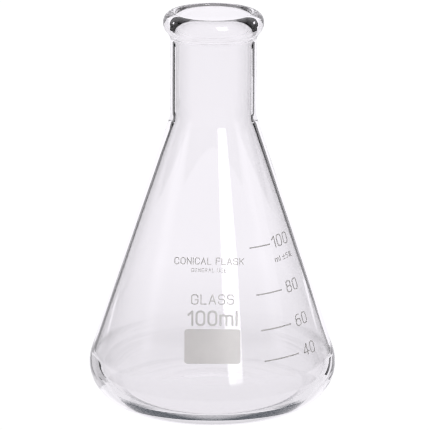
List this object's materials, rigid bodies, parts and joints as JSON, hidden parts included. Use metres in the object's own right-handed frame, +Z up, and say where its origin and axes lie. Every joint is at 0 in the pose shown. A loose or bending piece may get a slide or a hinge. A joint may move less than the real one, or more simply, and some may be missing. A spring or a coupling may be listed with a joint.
{
  "type": "erlenmeyer flask",
  "caption": "Narrow-neck conical laboratory flask of clear glass with a beaded rim, a rounded heel, a pushed-up base, and enamel graduations, lettering and marking spot.",
  "frame": {"origin": "centre of the base, on the plane the flask stands on", "axes": "+Z up the axis of the flask, -Y towards the front that carries the markings"},
  "size_m": [0.0654, 0.0654, 0.105],
  "materials": {
    "glass": "clear, fire polished",
    "enamel": "matt fired enamel"
  },
  "bodies": {
    "root": {"glass_flask": "glass", "marking_spot": "enamel", "capacity_mark": "enamel", "material_mark": "enamel", "title_mark": "enamel", "subtitle_mark": "enamel", "tolerance_mark": "enamel", "graduation_line_100": "enamel", "graduation_number_100": "enamel", "graduation_line_80": "enamel", "graduation_number_80": "enamel", "graduation_line_60": "enamel", "graduation_number_60": "enamel", "graduation_line_40": "enamel", "graduation_number_40": "enamel"}
  },
  "joints": []
}
